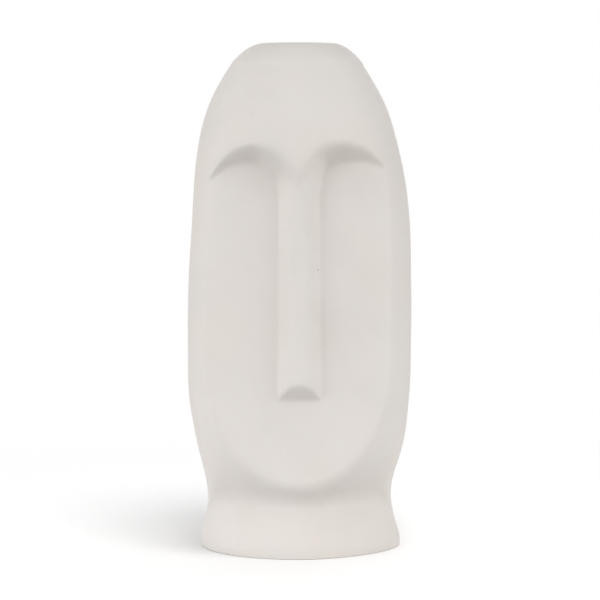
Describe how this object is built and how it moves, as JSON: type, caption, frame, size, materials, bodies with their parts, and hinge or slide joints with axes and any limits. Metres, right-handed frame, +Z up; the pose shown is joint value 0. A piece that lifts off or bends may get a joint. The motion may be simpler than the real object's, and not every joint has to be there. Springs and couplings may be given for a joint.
{
  "type": "face vase",
  "caption": "Tall matt ceramic vase shaped as an abstract face with arched brows and a long nose, a small oval mouth at the crown and a flared foot.",
  "frame": {"origin": "middle of the foot, on the plane the vase rests on, below the seam between the front and back halves", "axes": "+Z up, the face looks along -Y, +X is to the right of someone looking at the face"},
  "size_m": [0.1114, 0.1024, 0.25],
  "materials": {
    "bisque": "matt",
    "slip": "matt",
    "glaze": "gloss",
    "felt": "matt"
  },
  "bodies": {
    "root": {"face_wall": "bisque", "back_wall": "bisque", "seam_slip_left": "slip", "seam_slip_right": "slip", "floor_slab": "bisque", "floor_slip": "slip", "glaze_lining": "glaze", "felt_pad": "felt"}
  },
  "joints": []
}
